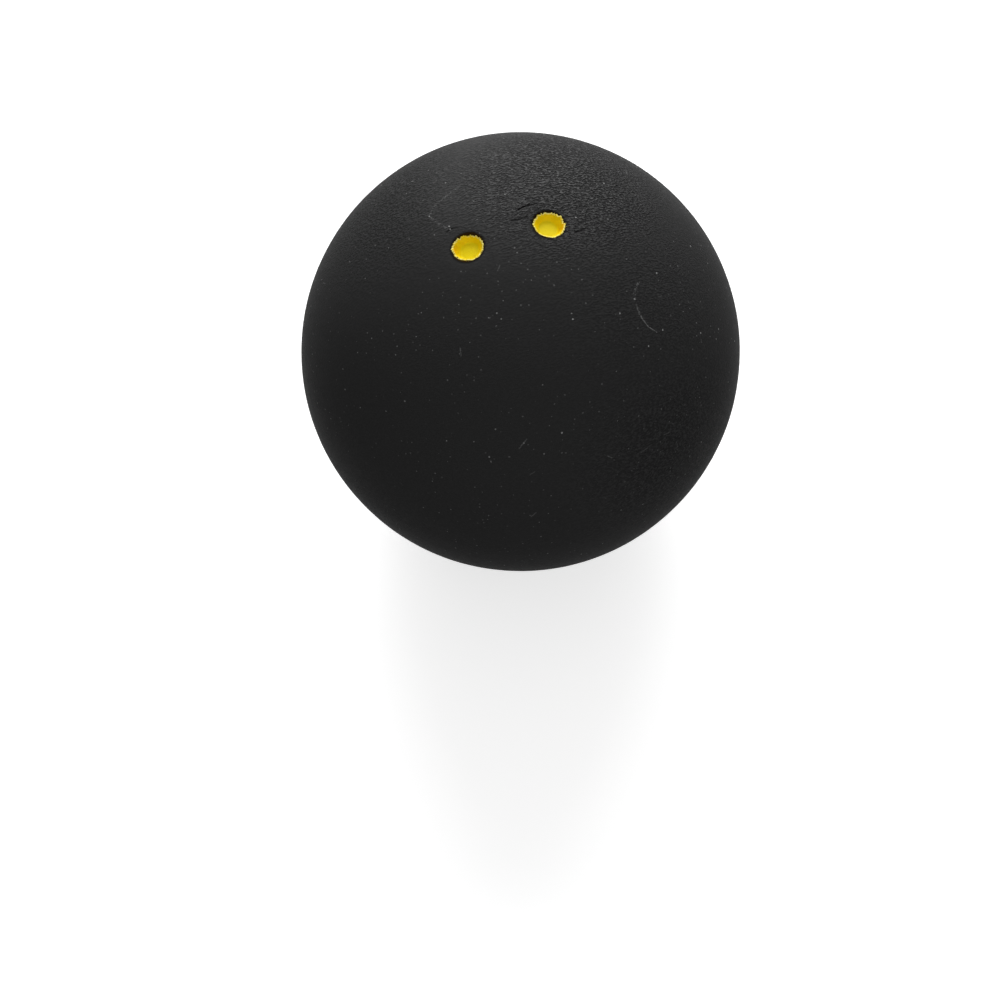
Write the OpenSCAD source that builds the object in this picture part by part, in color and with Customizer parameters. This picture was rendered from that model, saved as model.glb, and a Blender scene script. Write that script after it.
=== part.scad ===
// Squash ball of the two-dot grade, in millimetres.
// Two moulded rubber half-shells are cemented rim to rim round the air sealed
// inside, and two painted wells near one pole mark the grade.
// The origin is the ball's centre. +Z runs out between the two dots, +X points
// from the left dot to the right one, and the seam lies in the XY plane.

/* [Ball] */
// Outside diameter of the ball
ball_d = 40; // [36:0.5:60]
// Thickness of the rubber wall
wall_t = 5; // [3:0.1:8]

/* [Seam] */
// Thickness of the cement between the two rims
cement_t = 0.15; // [0.05:0.01:0.4]
// Height and depth of the break on each rim's outer corner
edge_break = 0.2; // [0.1:0.01:0.6]
// Depth of the buffed cement under the ball's surface
seam_sink = 0.02; // [0.01:0.01:0.05]
// Radius of the bead of cement squeezed out inside
bead_r = 0.4; // [0.25:0.05:0.8]

/* [Dots] */
// Straight distance between the centres of the two dots
dot_gap = 7.25; // [5:0.05:14]
// Diameter of a well at its mouth
mouth_d = 2.9; // [2.4:0.05:3.6]
// Diameter of a well's floor, measured to the corner under the wall
floor_d = 1.75; // [1.2:0.05:2.2]
// Depth of a well under the ball's surface
well_depth = 1; // [0.7:0.05:2]
// Radius of the round between a well's floor and its wall
corner_r = 0.35; // [0.3:0.01:0.5]
// Radius of the round on a well's lip
lip_r = 0.12; // [0.05:0.01:0.16]
// Thickness of the paint that lines a well
paint_t = 0.12; // [0.05:0.01:0.2]
// Depth of the paint's upper edge under the mouth
paint_drop = 0.14; // [0.12:0.01:0.3]

/* [Hidden] */
$fn = 128;
rubber_colour = [0.17, 0.17, 0.175];
cement_colour = [0.1, 0.1, 0.1];
paint_colour = [0.84, 0.73, 0.12];
// How far a cut or a blank runs past the face that it opens
overrun = 1;
// Steps in a drawn round
arc_steps = 12;
// Share of the lip's radius that its centre lies under the ball's surface. It is
// a little under 1, so that the round meets the surface at a slight edge.
lip_bury_share = 0.96;
ball_r = ball_d / 2;
hollow_r = ball_r - wall_t;
rim_z = cement_t / 2;
// Lean of each well from the pole, which sets their mouths dot_gap apart
dot_lean = asin(dot_gap / ball_d);
// A well's outline is drawn in its own half plane, with x out from the well's
// axis and y up that axis from the ball's centre
mouth_r = mouth_d / 2;
floor_r = floor_d / 2;
mouth_y = sqrt(ball_r * ball_r - mouth_r * mouth_r);
floor_y = ball_r - well_depth;
floor_corner = [floor_r, floor_y];
// Lean of the well's wall from its axis, and the ways up it and square into it
wall_lean = atan2(mouth_r - floor_r, mouth_y - floor_y);
up_wall = [sin(wall_lean), cos(wall_lean)];
into_wall = [cos(wall_lean), -sin(wall_lean)];
// The corner's round touches the floor and the wall
corner_centre = floor_corner + corner_r * [(sin(wall_lean) - 1) / cos(wall_lean), 1];
// The lip's round touches the wall, with its centre just under the ball's surface
lip_foot = floor_corner + lip_r * into_wall;
lip_reach = ball_r - lip_bury_share * lip_r;
lip_along = lip_foot * up_wall;
lip_rise = sqrt(lip_along * lip_along - lip_foot * lip_foot + lip_reach * lip_reach) - lip_along;
lip_centre = lip_foot + lip_rise * up_wall;
// The paint ends up the wall in a round edge of its own thickness
paint_rise = (mouth_y - paint_drop - floor_y) / cos(wall_lean) - paint_t;
paint_edge = floor_corner + paint_rise * up_wall;

// Points along an arc from one angle to another
function arc(centre, radius, from, to) = [
    for (i = [0 : arc_steps])
        let (angle = from + (to - from) * i / arc_steps)
        centre + radius * [cos(angle), sin(angle)]
];

// Floor and corner round, which the well and the back of its paint share
function well_bottom() = concat([[0, floor_y]], arc(corner_centre, corner_r, -90, -wall_lean));

// Outline of a well as it is cut, carried out past the ball's surface
function well_outline() = concat(
    well_bottom(),
    arc(lip_centre, lip_r, 180 - wall_lean, 90),
    [[lip_centre.x, ball_r + overrun], [0, ball_r + overrun]]
);

// Outline of the paint: the well's own face, a round edge and the open face
function paint_outline() = concat(
    well_bottom(),
    arc(paint_edge, paint_t, 90 - wall_lean, 180 - wall_lean),
    arc(corner_centre, corner_r - paint_t, -wall_lean, -90),
    [[0, floor_y + paint_t]]
);

// Section of one half-shell above its flat rim, with the outer corner broken
module half_shell_section() {
    difference() {
        intersection() {
            difference() {
                circle(r = ball_r);
                circle(r = hollow_r);
            }
            translate([0, rim_z]) square(ball_r + overrun);
        }
        polygon([
            [ball_r - edge_break - overrun, rim_z - overrun],
            [ball_r + overrun, rim_z - overrun],
            [ball_r + overrun, rim_z + edge_break + overrun]
        ]);
    }
}

module half_shell() {
    rotate_extrude() half_shell_section();
}

// Section of the cement: the web between the rims, the weld that fills the
// broken corners and is buffed just under the surface, and the inner bead
module cement_section() {
    intersection() {
        circle(r = ball_r - seam_sink);
        union() {
            translate([hollow_r - bead_r / 2, -rim_z]) square([wall_t + bead_r, cement_t]);
            polygon([
                [ball_r - edge_break, -rim_z],
                [ball_r + overrun, -rim_z - edge_break - overrun],
                [ball_r + overrun, rim_z + edge_break + overrun],
                [ball_r - edge_break, rim_z]
            ]);
        }
    }
    intersection() {
        translate([hollow_r, 0]) circle(r = bead_r);
        circle(r = hollow_r);
    }
}

// Stands what is drawn round +Z on the left dot (side -1) or the right one (side 1)
module at_dot(side) {
    rotate([0, side * dot_lean, 0]) children();
}

module upper_half_shell() {
    color(rubber_colour) difference() {
        half_shell();
        for (side = [-1, 1]) at_dot(side) rotate_extrude() polygon(well_outline());
    }
}

module lower_half_shell() {
    color(rubber_colour) mirror([0, 0, 1]) half_shell();
}

module seam_cement() {
    color(cement_colour) rotate_extrude() cement_section();
}

module dot_paint(side) {
    color(paint_colour) at_dot(side) rotate_extrude() polygon(paint_outline());
}

upper_half_shell();
lower_half_shell();
seam_cement();
dot_paint(-1);  // left_dot_paint
dot_paint(1);  // right_dot_paint
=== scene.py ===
"""Looks of the squash ball, built round its packed CAD part.

Lengths are in metres and the frame is the ball's: origin at its centre, +Z out between the two
dots, +X from the left dot to the right one, seam in the XY plane. Each piece is worked out as it
leaves the mould and is then carried through one field of small wear, so that pieces that touch
there still touch.
"""

import math
from functools import partial, reduce

import bmesh
import bpy
import numpy as np
from mathutils import Matrix, Vector


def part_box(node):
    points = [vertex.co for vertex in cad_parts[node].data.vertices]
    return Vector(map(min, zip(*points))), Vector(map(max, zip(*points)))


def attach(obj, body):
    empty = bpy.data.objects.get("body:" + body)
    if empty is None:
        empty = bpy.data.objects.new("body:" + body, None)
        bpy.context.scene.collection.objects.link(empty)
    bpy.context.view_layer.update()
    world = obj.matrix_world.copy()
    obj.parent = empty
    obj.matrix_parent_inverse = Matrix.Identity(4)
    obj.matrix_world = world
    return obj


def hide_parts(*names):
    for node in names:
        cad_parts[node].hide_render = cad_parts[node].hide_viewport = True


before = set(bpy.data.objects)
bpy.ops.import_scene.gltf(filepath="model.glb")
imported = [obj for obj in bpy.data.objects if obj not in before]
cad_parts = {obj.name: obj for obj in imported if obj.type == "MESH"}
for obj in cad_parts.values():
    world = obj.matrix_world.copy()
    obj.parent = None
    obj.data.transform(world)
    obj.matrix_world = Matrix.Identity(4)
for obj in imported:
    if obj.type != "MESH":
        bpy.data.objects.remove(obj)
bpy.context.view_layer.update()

bl_info = {
    "name": "Squash ball",
    "version": (1, 0, 0),
    "blender": (4, 5, 0),
    "location": "View3D > Sidebar > Squash ball",
    "description": "Builds a hollow rubber squash ball with two painted dots",
    "category": "Add Mesh",
}

MM = 0.001
RIM_BELOW, POLE_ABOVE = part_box("upper_half_shell")
BLACK = (0, 0, 0)
WHITE = (1, 1, 1)
# The left dot is side -1 and the right one side 1
SIDES = (-1, 1)

# Picture the camera matches: its side in pixels, and places read on it, as (right, down)
PICTURE_SIDE = 1000
BALL_CENTRE_PX = (520.5, 352.5)
# Patches of deeper grain, each with its share of the full depth
GRAIN_PATCHES_PX = (((560, 172), 1.15), ((400, 190), 0.3), ((655, 290), 0.15), ((672, 452), 0.3))
# Middle of a broad painted highlight near the top of the ball
PAINTED_HIGHLIGHT_PX = (530, 168)
DUSTY_PX = ((660, 430), (505, 275), (505, 455), (700, 335))
# The same kinds of marks on the sides that the picture doesn't show, as directions from the centre
HIDDEN_GRAIN_PATCHES = (
    ((-0.45, 0.88, -0.1), 0.6), ((0.75, 0.65, -0.15), 0.45), ((-0.85, 0.1, -0.5), 0.4),
    ((0.65, -0.3, -0.7), 0.35), ((0, 0.3, -0.95), 0.45),
)
HIDDEN_DUSTY = ((0.5, 0.8, -0.3), (-0.7, 0.6, -0.35), (0.3, -0.4, -0.87))
HIDDEN_SCUFFS = (
    ((-0.2, 0.95, 0.02), (-0.1, 0.98, -0.06), (0.01, 0.99, -0.08), (0.1, 0.98, -0.04)),
    ((0.89, 0.3, -0.25), (0.92, 0.21, -0.32), (0.93, 0.11, -0.38)),
    ((-0.84, 0.35, -0.35), (-0.87, 0.25, -0.42), (-0.86, 0.18, -0.5), (-0.8, 0.12, -0.58)),
    ((0.2, -0.5, -0.83), (0.28, -0.45, -0.84), (0.34, -0.38, -0.85)),
)
HIDDEN_HAIRS = (
    ((-0.4, 0.91, 0), (-0.43, 0.9, -0.03)), ((0.6, 0.77, -0.2), (0.63, 0.74, -0.23)),
    ((0.3, 0.5, -0.81), (0.34, 0.46, -0.82)), ((-0.6, -0.1, -0.8), (-0.63, -0.12, -0.76)),
)
# Creases and the swollen ridge run from one end through a middle place to the other end
DEEP_CREASES_PX = (((518, 210), (525, 206), (536, 204)),)
FAINT_CREASES_PX = (
    ((447, 232), (451, 229), (458, 228)), ((511, 221), (519, 219), (527, 217)),
    ((575, 232), (579, 231), (584, 229)),
)
LEFT_RIDGE_PX = ((437, 248), (446, 232), (463, 226))
# Scuffs, the scratch and hairs run through their places in turn
LEFT_SCUFF_PX = (
    (459, 186), (450, 193), (440, 201), (433, 207), (429, 216), (433, 219), (439, 224), (447, 228),
)
RIGHT_SCUFF_PX = ((639, 282), (635, 290), (635, 299), (637, 307), (640, 314), (645, 322))
RIGHT_SCRATCH_PX = ((640, 314), (644, 321), (649, 327), (657, 332))
HAIRS_PX = (
    ((460, 348), (461, 356)), ((527, 439), (519, 449)), ((531, 517), (536, 513)),
    ((530, 475), (535, 472)), ((658, 297), (662, 296)), ((561, 166), (566, 170)),
    ((500, 265), (497, 272)), ((641, 453), (648, 448)), ((664, 435), (671, 432)),
    ((677, 442), (678, 447)), ((608, 456), (612, 458)), ((577, 147), (582, 151)),
    ((626, 169), (627, 173)), ((632, 165), (637, 167)),
)
BRIGHT_SPECKS_PX = (
    (573, 319), (497, 313), (449, 226), (450, 229), (649, 346), (604, 183), (735, 341), (701, 333),
    (429, 216), (576, 217), (562, 433), (489, 457), (428, 170), (381, 185), (635, 299), (657, 273),
    (663, 330), (719, 329), (691, 246), (620, 313), (505, 194),
)
FAINT_SPECKS_PX = (
    (593, 295), (490, 318), (476, 318), (496, 326), (586, 303), (529, 305), (602, 384), (467, 375),
    (565, 395), (699, 244), (509, 457), (367, 333), (626, 171), (436, 180), (627, 259), (693, 349),
    (702, 342), (715, 332), (689, 302), (481, 370), (557, 262), (535, 276), (545, 276), (549, 275),
    (528, 269), (508, 194), (477, 219), (484, 255), (701, 249), (502, 291), (516, 290), (523, 282),
    (498, 281), (521, 263), (521, 305), (487, 273), (554, 285), (676, 452), (644, 429), (685, 405),
    (698, 412), (690, 446), (516, 147), (521, 148), (538, 146), (543, 178), (560, 142), (665, 190),
    (645, 211), (641, 204), (602, 164), (559, 170), (518, 196), (587, 190), (510, 216), (656, 289),
    (704, 270), (711, 326), (627, 291), (355, 247), (387, 239), (375, 245), (702, 405), (639, 416),
    (693, 464), (583, 413), (599, 412), (562, 453), (566, 453), (718, 434), (702, 433), (632, 471),
    (583, 489), (590, 402), (624, 401), (634, 293), (634, 347), (661, 349), (638, 328), (644, 356),
)
# Places on each dot's paint edge, each with how far it falls short there, or runs over where below 0
NOTCHES_PX = {
    -1: (((467, 235), 1.5), ((471, 234), 1.2), ((455, 241), 1.0), ((453, 244), -0.8),
         ((452, 249), -1.0), ((454, 254), 0.9), ((468, 261), -0.8), ((482, 240), -1.0)),
    1: (((537, 233), 2.1), ((556, 214), 1.0), ((545, 213), 0.8), ((559, 216), -0.8),
        ((565, 226), -1.0), ((563, 230), -1.0), ((533, 223), -1.2), ((533, 227), -0.6)),
}
# Where the lip bulges into each well
BULGES_PX = {-1: (463, 262), 1: (541, 235)}
# Where the paint is stained, pitted, and splashed past the lip
STAINS_PX = ((459, 247), (558, 225))
PAINT_PITS_PX = ((456, 254), (458, 257))
PAINT_SPLASHES_PX = (((559, 215), (561, 217)), ((566, 221), (566, 224)), ((565, 226), (568, 226)))

# Kinds of marks on the rubber: their paths, their width and how strong they are
# Painted shade along the creases: black laid into the rubber's colour there
CREASE_SHADES = ((DEEP_CREASES_PX, 0.19 * MM, 0.85), (FAINT_CREASES_PX, 0.22 * MM, 0.45))
CHALK_MARKS = (
    ((RIGHT_SCRATCH_PX,), 0.11 * MM, 0.3),
    (HAIRS_PX + HIDDEN_HAIRS, 0.13 * MM, 0.14),
    ([[pixel] for pixel in FAINT_SPECKS_PX], 0.18 * MM, 0.16),
    ([[pixel] for pixel in BRIGHT_SPECKS_PX], 0.18 * MM, 0.75),
)
SCUFFS = (((LEFT_SCUFF_PX, RIGHT_SCUFF_PX) + HIDDEN_SCUFFS, 0.24 * MM, 0.14),)
SPLASHES = ((PAINT_SPLASHES_PX, 0.16 * MM, 1.0),)
# Depth of the creased surface and of the pits under the moulded sphere
CREASED_DEPTH = 0.09 * MM
PIT_DEPTH = 0.2 * MM
# Shares of the full grain outside its patches, of black as painted shade in its hollows, of chalk and
# painted highlight on its ridges, of the broad painted highlight near the top, and of the cells that hold
# dust: everywhere, added in patches, or in dusty places
EVEN_GRAIN_SHARE = 0.05
HOLLOW_SHADE_SHARE = 0.5
RIDGE_CHALK_AND_HIGHLIGHT_SHARE = 0.095
PAINTED_HIGHLIGHT_SHARE = 0.058
DUST_SHARE = 0.35
PATCHY_SHARE = 0.4
DUSTY_SHARE = 0.6
# The ring of painted shade round a mouth and the smear in it, with the blur of the smear's edge
SHADE_RING_WIDTH = 0.25 * MM
SHADE_RING_SHARE = 0.6
SMEAR_BLUR = 0.06 * MM
SMEAR_SHARE = 0.85
# In the paint: how far mottles shift its colours, black on the right dot's floor, stain in the speckle
MOTTLE_SHARE = 0.6
GREY_SHARE = 0.1
SPECKLE_SHARE = 0.3

# Steps of the grids: round the ball, round half of the cap, and across the cap's middle
TURN_STEPS = 480
CAP_STEPS = TURN_STEPS // 2
MIDDLE_STEPS = 120
CAP_ANGLE = math.radians(30)
# Rows of a shell's outside under the cap, of a whole one and of the hollow, and of the cement
BAND_ROWS = 60
BOWL_ROWS = 110
HOLLOW_ROWS = 14
WELD_ROWS = 5
FACE_ROWS = 3
BEAD_ROWS = 8
# Steps along a well's outline, and how much closer its rows stand towards the lip
FLOOR_STEPS = 7
ROUND_STEPS = 24
WELL_ROWS = 25
WELL_CROWDING = 1.5
# Even rings on the skin near a dot, out to their reach, and stretched ones beyond
NEAR_RINGS = 32
NEAR_REACH = 3.2 * MM
FAR_RINGS = 24
FAR_CROWDING = 1.2
# Columns and rows of the paint. Its back has one row for every few of its open face.
PAINT_COLUMNS = 240
PAINT_ROWS = 44
PAINT_CROWDING = 1.7
PAINT_BACK_STRIDE = 3

# Share of the lip's radius that its centre lies under the ball's surface, as in the CAD part
LIP_BURY_SHARE = 0.96
# Wavelength of each kind of wave in the rubber, and the seed of its directions
SWELL_WAVES = (7 * MM, 3)
RIPPLE_WAVES = (1.3 * MM, 4)
WRINKLE_WAVES = (0.55 * MM, 5)
# Wrinkles are drawn out along X, and fade out between these shares of the cap's angle
WRINKLE_SQUEEZE = (0.7, 1, 1)
WRINKLE_FADE_SHARES = (0.95, 0.7)
# Numbers of lobes of each unevenness round a dot, and the seed of their phases
PAINT_JAG_LOBES = ((5, 7, 11, 14, 19), 11)
PAINT_FRAY_LOBES = ((23, 29, 37, 44), 31)
PAINT_LUMP_LOBES = ((2, 3, 5, 8), 51)
LIP_LOBES = ((2, 3, 5, 7, 10, 13), 71)
# Half the angles that a notch in the paint's edge and a bulge of the lip take up about the dot's axis
NOTCH_WIDTH = math.radians(12)
BULGE_WIDTH = math.radians(50)
# How far a dimple reaches past a mouth, wear under the surface, and a lip's unevenness about it
DIMPLE_REACH = 0.45 * MM
WEAR_DEPTH = 0.45 * MM
LIP_REACH = 0.5 * MM
# How many times as wide as a crease the ridge is
RIDGE_WIDENING = 3
# Shares of an arc's half angle between which it dies away
ARC_END_SHARES = (0.5, 1.1)
# The paint's fray as a share of its jags, its least gap, and the stretch of its rounded edge
FRAY_SHARE = 0.7
LEAST_PAINT_GAP = 0.01 * MM
PAINT_ROUND = 0.12 * MM
# Share of its thickness that paint may lack in lumps, and where along the well that begins and is full
LUMP_SHARE = 0.25
LUMP_START = 0.4 * MM
LUMP_FULL = 1.2 * MM
# Distance under which points are one, angle from which an edge is sharp, and the least divisor
WELD_DISTANCE = 0.0001 * MM
SHARP_ANGLE = math.radians(40)
TINY = 1e-9


# Properties

def number(name, description, default, **more):
    """A number that the user may change."""
    return bpy.props.FloatProperty(name=name, description=description, default=default, **more)


def length(name, description, default):
    """A length."""
    return number(name, description, default, min=0, unit="LENGTH", precision=5)


def angle(name, description, degrees):
    """An angle, whose default is given in degrees."""
    return number(name, description, math.radians(degrees), subtype="ANGLE")


def colour(name, description, default):
    """A colour, in linear red, green and blue."""
    return bpy.props.FloatVectorProperty(
        name=name, description=description, default=default, min=0, max=1, size=3, subtype="COLOR"
    )


class BallSizes(bpy.types.PropertyGroup):
    """Sizes of the ball, its joint and its dots, as the CAD part has them"""

    ball_r: length("Ball radius", "Outside radius of the ball", POLE_ABOVE.z)
    rim_z: length("Rim height", "Half the cement's thickness", RIM_BELOW.z)
    wall: length("Wall", "Thickness of the rubber wall", 5 * MM)
    edge_break: length("Edge break", "Height and depth of the break on each rim's corner", 0.2 * MM)
    seam_sink: length("Seam sink", "Depth of the buffed cement under the surface", 0.004 * MM)
    bead_r: length("Bead radius", "Radius of the cement squeezed out inside", 0.4 * MM)
    dot_gap: length("Dot gap", "Straight distance between the dots' centres", 7.25 * MM)
    mouth_r: length("Mouth radius", "Radius of a well at its mouth", 1.45 * MM)
    floor_r: length("Floor radius", "Radius of a well's floor under its wall", 0.875 * MM)
    well_depth: length("Well depth", "Depth of a well under the ball's surface", 1 * MM)
    corner_r: length("Corner round", "Radius between a well's floor and wall", 0.35 * MM)
    lip_r: length("Lip round", "Radius on a well's lip", 0.12 * MM)
    paint: length("Paint", "Thickness of the paint in a well", 0.12 * MM)


class BallWear(bpy.types.PropertyGroup):
    """How far the pieces depart from their moulded shape"""

    swell: length("Swell", "Depth of the slow waves in the rubber", 0.02 * MM)
    ripple: length("Ripple", "Depth of the short waves in the rubber", 0.007 * MM)
    wrinkle: length("Wrinkle", "Depth of the fine wrinkles round the dots", 0.006 * MM)
    dimple: length("Dimple", "Depth to which the rubber sinks round each dot", 0.05 * MM)
    crease: length("Crease", "Depth of the creases beside the dots", 0.07 * MM)
    crease_width: length("Crease width", "Half the width of the creases", 0.09 * MM)
    ridge: length("Ridge", "Height of the swollen rubber round the left dot", 0.025 * MM)
    lip_wander: length("Lip wander", "Unevenness of a well's mouth", 0.04 * MM)
    lip_bulge: length("Lip bulge", "How far the lip bulges in at its fullest place", 0.13 * MM)
    paint_gap: length("Paint gap", "Bare rubber between the paint and the lip", 0.195 * MM)
    paint_tilt: length("Paint tilt", "How much wider that is towards the other dot", 0.07 * MM)
    paint_jag: length("Paint jag", "Unevenness of the paint's edge", 0.09 * MM)
    paint_notch: length("Paint notch", "Depth of a usual notch in the paint's edge", 0.1 * MM)


class BallFinish(bpy.types.PropertyGroup):
    """Colours and textures"""

    rubber: colour("Rubber", "Colour of the black rubber", (0.033, 0.033, 0.0332))
    cement: colour("Cement", "Colour of the cured cement", (0.0325, 0.0325, 0.0327))
    paint: colour("Paint", "Colour of the dots' paint", (0.93, 0.78, 0.006))
    # Painted bounce light: the deeper orange of the steep wall stands for light that the yellow paint throws
    # back inside the well
    wall_paint: colour("Wall paint", "Colour of the thinner paint on a well's wall", (0.98, 0.71, 0.001))
    # Colour of the splashed paint, and also of a painted highlight along the paint's thin rounded edge
    paint_edge: colour("Paint edge", "Colour of the paint where it thins out", (0.98, 0.86, 0.22))
    smear: colour("Smear", "Colour of the smeared rubber round the paint", (0.042, 0.022, 0.003))
    stain: colour("Stain", "Colour of the stains in the paint", (0.75, 0.4, 0.002))
    chalk: colour("Chalk", "Colour of scuffs and dust on the rubber", (0.55, 0.55, 0.55))
    grain: length("Grain size", "Spacing of the rubber's fine grain", 0.22 * MM)
    grain_depth: length("Grain depth", "Depth of the rubber's fine grain", 0.45 * MM)
    grain_patch: length("Grain patch", "Reach of a patch where the grain is deeper", 12.5 * MM)
    # A painted highlight: pale colour near the top, standing in for the key light's sheen on the rubber
    bloom: length("Highlight", "Reach of the pale bloom on the rubber", 14 * MM)
    dusty: length("Dusty places", "Reach of the places where the dust is thickest", 7 * MM)
    paint_grain: length("Paint grain", "Depth of the fine lumps in the paint", 0.02 * MM)


class BallStage(bpy.types.PropertyGroup):
    """Camera, lights and floor"""

    azimuth: angle("Azimuth", "Turn of the camera round the ball", -11.394)
    elevation: angle("Elevation", "Height of the camera above the seam's plane", 59.294)
    roll: angle("Roll", "Turn of the picture about the line of sight", -5.989)
    distance: length("Distance", "From the camera to the ball's centre", 253.97 * MM)
    lens: number("Lens", "Focal length of the camera in millimetres", 100, min=1)
    light_distance: length("Light distance", "From the lights to the ball", 500 * MM)
    light_side: length("Light side", "Side of the square lights", 450 * MM)
    key_power: number("Key light", "Power of the key light in watts", 3.8, min=0)
    key_rise: angle("Key rise", "Angle of the key light from the line of sight, upwards", 93)
    fill_power: number("Fill light", "Power of the fill light in watts", 0.42, min=0)
    fill_rise: angle("Fill rise", "Angle of the fill light from the line of sight, upwards", -20)
    fill_turn: angle("Fill turn", "Turn of the fill light towards the picture's right", 15)
    world_strength: number("Room light", "Strength of the light from all round", 0.3, min=0)
    floor_half: length("Floor half", "Half the side of the floor", 2000 * MM)
    floor: colour("Floor", "Colour of the floor", (0.9, 0.9, 0.9))
    floor_glow: number("Floor glow", "The floor's own brightness to the camera", 0.6, min=0)
    floor_near: length("Floor near", "Where the floor's own brightness starts to grow", 150 * MM)
    floor_far: length("Floor far", "Distance from which the floor is white by itself", 700 * MM)
    floor_bounce: colour("Floor bounce", "Its colour in the light it throws back", (0.25, 0.25, 0.25))


# Camera and places on the picture

def camera_place(stage):
    """The camera's matrix. It stands at its azimuth, elevation and distance and looks at the ball's
    centre, is rolled about that line, and is then swung until that centre falls on its pixel."""
    flat = math.cos(stage.elevation)
    back = Vector((
        math.sin(stage.azimuth) * flat,
        -math.cos(stage.azimuth) * flat,
        math.sin(stage.elevation),
    ))
    aim = (-back).to_track_quat("-Z", "Y").to_matrix().to_4x4()
    roll = Matrix.Rotation(stage.roll, 4, "Z")
    swing = Vector((0, 0, -1)).rotation_difference(pixel_ray(stage, BALL_CENTRE_PX))
    return Matrix.Translation(back * stage.distance) @ aim @ roll @ swing.to_matrix().to_4x4().inverted()


def pixel_ray(stage, pixel):
    """Direction through a pixel in the camera's own axes, for a 36 mm sensor."""
    sensor = 36
    reach = stage.lens / sensor * PICTURE_SIDE
    middle = PICTURE_SIDE / 2
    return Vector((pixel[0] - middle, middle - pixel[1], -reach)).normalized()


def spot(mark, depth=0):
    """Where the line of sight through a pixel first meets the ball, or a depth under its surface. A
    mark of three numbers is no pixel but a direction from the ball's centre."""
    stage = bpy.context.scene.ball_stage
    radius = bpy.context.scene.ball_sizes.ball_r - depth
    if len(mark) == 3:
        return Vector(mark).normalized() * radius
    place = camera_place(stage)
    eye = place.translation
    ray = place.to_3x3() @ pixel_ray(stage, mark)
    along = -eye.dot(ray)
    nearest = along - math.sqrt(along ** 2 - eye.length_squared + radius ** 2)
    return eye + ray * nearest


def arc_through(pixels):
    """Circle through three places on the ball: its centre, its radius, its axis, the direction from
    its centre to the middle place, and the angle from there to the arc's further end. With a and b
    the ways from the middle place to the ends, the centre lies from there by
    (|a|^2 b - |b|^2 a) x (a x b) / (2 |a x b|^2)."""
    start, middle, end = (spot(pixel) for pixel in pixels)
    a = start - middle
    b = end - middle
    across = a.cross(b)
    centre = middle + (a.length_squared * b - b.length_squared * a).cross(across) / (
        2 * across.length_squared
    )
    towards = (middle - centre).normalized()
    half = max((start - centre).angle(towards), (end - centre).angle(towards))
    return np.array(centre), (middle - centre).length, np.array(across.normalized()), np.array(towards), half


# Grids, falloffs and noise

def smooth(values, low, high):
    """0 under low, 1 over high, and 3t^2 - 2t^3 between them."""
    t = np.clip((values - low) / (high - low), 0, 1)
    return t * t * (3 - 2 * t)


def fade(distance, reach):
    """1 at no distance, and exp(-(distance / reach)^2) away from there."""
    return np.exp(-(distance / reach) ** 2)


def unit(turn):
    """Directions at angles, as (cosine, sine) rows."""
    return np.column_stack([np.cos(turn), np.sin(turn)])


def crowded(count, power):
    """Numbers t from 0 to 1 that stand closer towards 1: 1 - (1 - t)^power."""
    return 1 - (1 - np.linspace(0, 1, count)) ** power


def ripples(points, wavelength, seed):
    """Sum of plane waves of one wavelength in random directions, brought to between 0 and 1."""
    waves = 24
    random = np.random.default_rng(seed)
    directions = random.normal(size=(3, waves))
    directions /= np.linalg.norm(directions, axis=0)
    phases = random.uniform(0, 2 * np.pi, waves)
    total = np.sin(points @ directions * (2 * np.pi / wavelength) + phases).sum(1)
    return 0.5 + 0.5 * np.clip(total / math.sqrt(2 * waves), -1, 1)


def wander(bearing, side, lobes, seed):
    """Sum of sines of the bearing about a dot, one for each number of lobes, brought to between
    -1 and 1."""
    random = np.random.default_rng(seed + side)
    phases = random.uniform(0, 2 * np.pi, len(lobes))
    total = np.sin(np.multiply.outer(bearing, np.array(lobes)) + phases).sum(-1)
    return np.clip(total / math.sqrt(2 * len(lobes)), -1, 1)


def grid_faces(rows, columns, closed_rows=False):
    """Quads of a grid of rows whose columns run all the way round. With closed_rows the last row
    joins the first one too."""
    k = np.arange(rows if closed_rows else rows - 1)[:, None]
    j = np.arange(columns)[None, :]
    below = (k + 1) % rows
    beside = (j + 1) % columns
    corners = [k * columns + j, below * columns + j, below * columns + beside, k * columns + beside]
    return np.stack(corners, axis=-1).reshape(-1, 4)


def revolve(section, closed_rows=False):
    """Points and quads of a section of (radius, height) rows that is carried round +Z. They face the
    side that lies to the left of the section's way, seen with +Z up and the axis on the left."""
    turn = -np.pi / 2 + np.arange(TURN_STEPS) * (2 * np.pi / TURN_STEPS)
    radius, height = section[:, :1], section[:, 1:]
    points = np.stack([radius * np.cos(turn), radius * np.sin(turn), height + 0 * turn], axis=-1)
    return points.reshape(-1, 3), grid_faces(len(section), TURN_STEPS, closed_rows)


def polar(radius, start, stop, count):
    """Points on a circle about the ball's centre, between two angles from the pole."""
    from_pole = np.linspace(start, stop, count)
    return radius * np.column_stack([np.sin(from_pole), np.cos(from_pole)])


# Shapes as moulded

def break_polar(sizes, radius):
    """Angle from the pole at which the 45 degree break of a rim's corner meets a circle: there
    x - z = k and x^2 + z^2 = radius^2."""
    k = sizes.ball_r - sizes.edge_break - sizes.rim_z
    z = (math.sqrt(2 * radius ** 2 - k ** 2) - k) / 2
    return math.acos(z / radius)


def shell_section(sizes, start):
    """Outline of a half-shell from a polar angle on its outside, down over the broken corner and
    the flat rim, and up inside to the pole."""
    hollow_r = sizes.ball_r - sizes.wall
    rows = BAND_ROWS if start > 0 else BOWL_ROWS
    outside = polar(sizes.ball_r, start, break_polar(sizes, sizes.ball_r), rows)
    rim = np.array([[sizes.ball_r - sizes.edge_break, sizes.rim_z]])
    inside = polar(hollow_r, math.acos(sizes.rim_z / hollow_r), 0, HOLLOW_ROWS)
    return np.vstack([outside, rim, inside])


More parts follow.
